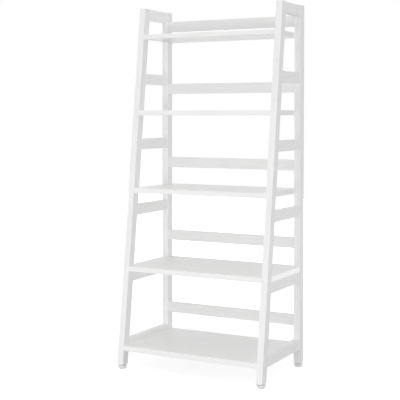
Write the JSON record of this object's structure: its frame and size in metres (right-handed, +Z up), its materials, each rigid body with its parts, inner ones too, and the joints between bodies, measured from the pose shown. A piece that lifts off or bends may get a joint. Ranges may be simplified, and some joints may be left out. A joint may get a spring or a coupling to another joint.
{
  "type": "ladder bookcase",
  "caption": "Free-standing ladder bookcase with leaning front legs, shelves that deepen towards the floor, side and back rails, and screw-in levelling feet.",
  "frame": {"origin": "on the floor, under the middle of the bookcase's width and of its depth at the feet", "axes": "+Z up, the front is at -Y, +X to the right as seen from the front"},
  "size_m": [0.6766, 0.4179, 1.524],
  "materials": {
    "frame_lacquer": "satin white lacquer on solid wood",
    "shelf_lacquer": "satin white lacquer on board, with edge banding",
    "zinc_steel": "zinc plated",
    "insert_brass": "bare, machined",
    "beech": "bare beech",
    "pad_plastic": "moulded, matt"
  },
  "bodies": {
    "frame": {"front_leg_left": "frame_lacquer", "front_leg_right": "frame_lacquer", "rear_leg_left": "frame_lacquer", "rear_leg_right": "frame_lacquer", "side_rail_left_1": "frame_lacquer", "side_rail_left_2": "frame_lacquer", "side_rail_left_3": "frame_lacquer", "side_rail_left_4": "frame_lacquer", "side_rail_left_5": "frame_lacquer", "side_rail_left_6": "frame_lacquer", "side_rail_right_1": "frame_lacquer", "side_rail_right_2": "frame_lacquer", "side_rail_right_3": "frame_lacquer", "side_rail_right_4": "frame_lacquer", "side_rail_right_5": "frame_lacquer", "side_rail_right_6": "frame_lacquer", "back_rail_1": "frame_lacquer", "back_rail_2": "frame_lacquer", "back_rail_3": "frame_lacquer", "back_rail_4": "frame_lacquer", "back_rail_5": "frame_lacquer", "shelf_1": "shelf_lacquer", "shelf_2": "shelf_lacquer", "shelf_3": "shelf_lacquer", "shelf_4": "shelf_lacquer", "shelf_5": "shelf_lacquer", "shelf_cams": "zinc_steel", "shelf_cam_bolts": "zinc_steel", "back_rail_cams": "zinc_steel", "back_rail_cam_bolts": "zinc_steel", "back_rail_dowels": "beech", "threaded_inserts": "insert_brass"},
    "pad_front_left": {"foot_pad_front_left": "pad_plastic"},
    "stud_front_left": {"foot_stud_front_left": "zinc_steel"},
    "pad_front_right": {"foot_pad_front_right": "pad_plastic"},
    "stud_front_right": {"foot_stud_front_right": "zinc_steel"},
    "pad_rear_left": {"foot_pad_rear_left": "pad_plastic"},
    "stud_rear_left": {"foot_stud_rear_left": "zinc_steel"},
    "pad_rear_right": {"foot_pad_rear_right": "pad_plastic"},
    "stud_rear_right": {"foot_stud_rear_right": "zinc_steel"}
  },
  "joints": [
    {"name": "level_front_left", "type": "slide", "parent": "frame", "child": "pad_front_left", "axis": [0, 0, -1], "range_m": [-0.00125, 0.01]},
    {"name": "turn_front_left", "type": "hinge", "parent": "pad_front_left", "child": "stud_front_left", "pos_m": [-0.32025, -0.18884, 0.014], "axis": [0, 0, -1], "range_deg": [-361, 2881]},
    {"name": "level_front_right", "type": "slide", "parent": "frame", "child": "pad_front_right", "axis": [0, 0, -1], "range_m": [-0.00125, 0.01]},
    {"name": "turn_front_right", "type": "hinge", "parent": "pad_front_right", "child": "stud_front_right", "pos_m": [0.32025, -0.18884, 0.014], "axis": [0, 0, -1], "range_deg": [-361, 2881]},
    {"name": "level_rear_left", "type": "slide", "parent": "frame", "child": "pad_rear_left", "axis": [0, 0, -1], "range_m": [-0.00125, 0.01]},
    {"name": "turn_rear_left", "type": "hinge", "parent": "pad_rear_left", "child": "stud_rear_left", "pos_m": [-0.32025, 0.189, 0.014], "axis": [0, 0, -1], "range_deg": [-361, 2881]},
    {"name": "level_rear_right", "type": "slide", "parent": "frame", "child": "pad_rear_right", "axis": [0, 0, -1], "range_m": [-0.00125, 0.01]},
    {"name": "turn_rear_right", "type": "hinge", "parent": "pad_rear_right", "child": "stud_rear_right", "pos_m": [0.32025, 0.189, 0.014], "axis": [0, 0, -1], "range_deg": [-361, 2881]}
  ],
  "couplings": [
    {"joint": "turn_front_left", "follows": "level_front_left", "rad_per_m": 5026.5},
    {"joint": "turn_front_right", "follows": "level_front_right", "rad_per_m": 5026.5},
    {"joint": "turn_rear_left", "follows": "level_rear_left", "rad_per_m": 5026.5},
    {"joint": "turn_rear_right", "follows": "level_rear_right", "rad_per_m": 5026.5}
  ]
}
